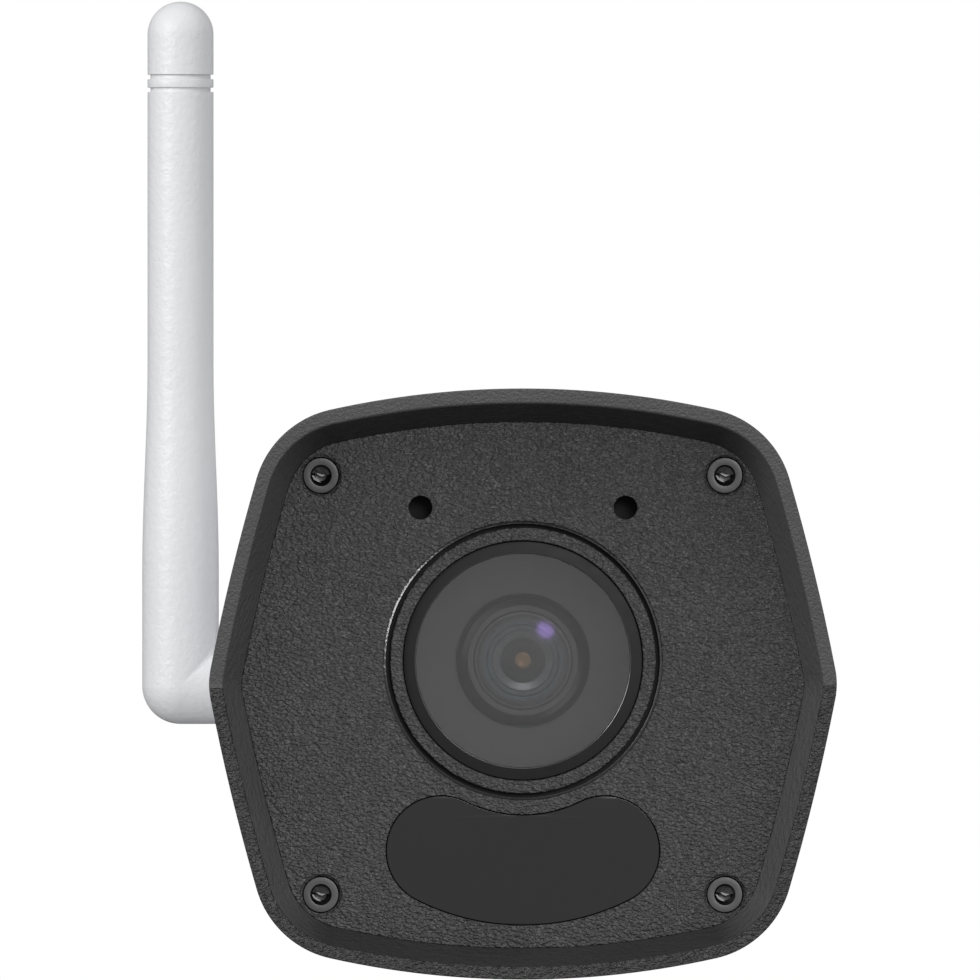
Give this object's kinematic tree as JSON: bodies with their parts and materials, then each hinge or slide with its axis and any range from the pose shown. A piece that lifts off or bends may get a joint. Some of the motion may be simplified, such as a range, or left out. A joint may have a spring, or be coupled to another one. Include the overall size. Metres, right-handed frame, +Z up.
{
  "type": "security camera",
  "caption": "Bullet security camera with a deep hooded face, a swivelling rod antenna and a three-axis wall bracket.",
  "frame": {"origin": "centre of the wall base's back face, on the pan axis", "axes": "+Z up, the camera looks along -Y, +Y is the outward normal of the wall base's back face, +X is to the right seen from the front"},
  "size_m": [0.0911, 0.181, 0.1283],
  "materials": {
    "white_metal": "white powder coat on die-cast alloy",
    "white_plastic": "moulded white plastic with a fine grain",
    "dark_plastic": "near-black moulding with a coarse grain",
    "black_plastic": "plain moulded",
    "dark_steel": "blackened",
    "steel": "zinc plated",
    "black_metal": "black anodised",
    "clear_glass": "polished",
    "filter_glass": "coated",
    "dark_window": "smooth, passes infrared only",
    "sensor": "die under a cover",
    "circuit_board": "solder mask",
    "emitter": "clear resin",
    "aluminium": "plain",
    "brass": "plain",
    "ribbon": "film",
    "rubber": "matte"
  },
  "bodies": {
    "wall_mount": {"wall_base": "white_metal"},
    "pan_arm": {"pan_arm": "white_metal", "pan_retainer": "steel", "pan_bolt": "steel", "tilt_bolt": "steel", "tilt_nut": "steel"},
    "tilt_link": {"tilt_link": "white_metal", "roll_circlip": "steel"},
    "antenna": {"antenna_tube": "white_plastic", "antenna_cap": "white_plastic", "antenna_element": "brass", "antenna_shaft": "steel", "antenna_clip": "steel"},
    "reset_button": {"reset_button": "black_plastic"},
    "filter_slider": {"filter_slider": "brass", "ir_cut_filter": "filter_glass", "clear_filter": "clear_glass"},
    "camera": {"roll_lock_screw": "steel", "rear_cap": "white_metal", "rear_gasket": "rubber", "rear_screws": "steel", "body_shell": "white_metal", "front_gasket": "rubber", "front_hood": "dark_plastic", "face_plate": "dark_plastic", "face_screws": "dark_steel", "window_glass": "clear_glass", "window_gasket": "rubber", "lens_baffle": "dark_plastic", "lens_barrel": "black_metal", "lens_retaining_ring": "black_metal", "front_element": "clear_glass", "inner_elements": "clear_glass", "aperture_stop": "black_metal", "lens_holder": "black_plastic", "image_sensor": "sensor", "sensor_board": "circuit_board", "sensor_screws": "steel", "ir_window": "dark_window", "ir_window_gasket": "rubber", "ir_board": "circuit_board", "ir_emitters": "emitter", "microphone": "steel", "light_sensor": "black_plastic", "main_board": "circuit_board", "board_screws": "steel", "heat_sink": "aluminium", "radio_module": "steel", "card_socket": "steel", "memory_card": "black_plastic", "reset_switch": "steel", "sensor_ribbon": "ribbon", "service_cover": "white_metal", "service_gasket": "rubber", "service_screws": "steel", "gland_nut": "black_plastic", "gland_seal": "rubber", "antenna_oring": "rubber", "antenna_lead": "rubber"}
  },
  "joints": [
    {"name": "bracket_pan", "type": "hinge", "parent": "wall_mount", "child": "pan_arm", "pos_m": [0, 0, 0], "axis": [0, 1, 0], "range_deg": [-180, 180]},
    {"name": "bracket_tilt", "type": "hinge", "parent": "pan_arm", "child": "tilt_link", "pos_m": [0, -0.044, 0], "axis": [1, 0, 0], "range_deg": [0, 90]},
    {"name": "camera_roll", "type": "hinge", "parent": "tilt_link", "child": "camera", "pos_m": [0, -0.068, 0], "axis": [0, 1, 0], "range_deg": [-180, 180]},
    {"name": "antenna_swivel", "type": "hinge", "parent": "camera", "child": "antenna", "pos_m": [-0.0451, -0.116, -0.0003], "axis": [1, 0, 0], "range_deg": [-90, 75]},
    {"name": "reset_press", "type": "slide", "parent": "camera", "child": "reset_button", "axis": [0, 0, 1], "range_m": [0, 0.0003], "stiffness_N_per_m": 3000, "springref_m": -0.0002},
    {"name": "filter_slide", "type": "slide", "parent": "camera", "child": "filter_slider", "axis": [1, 0, 0], "range_m": [-0.008, 0]}
  ]
}
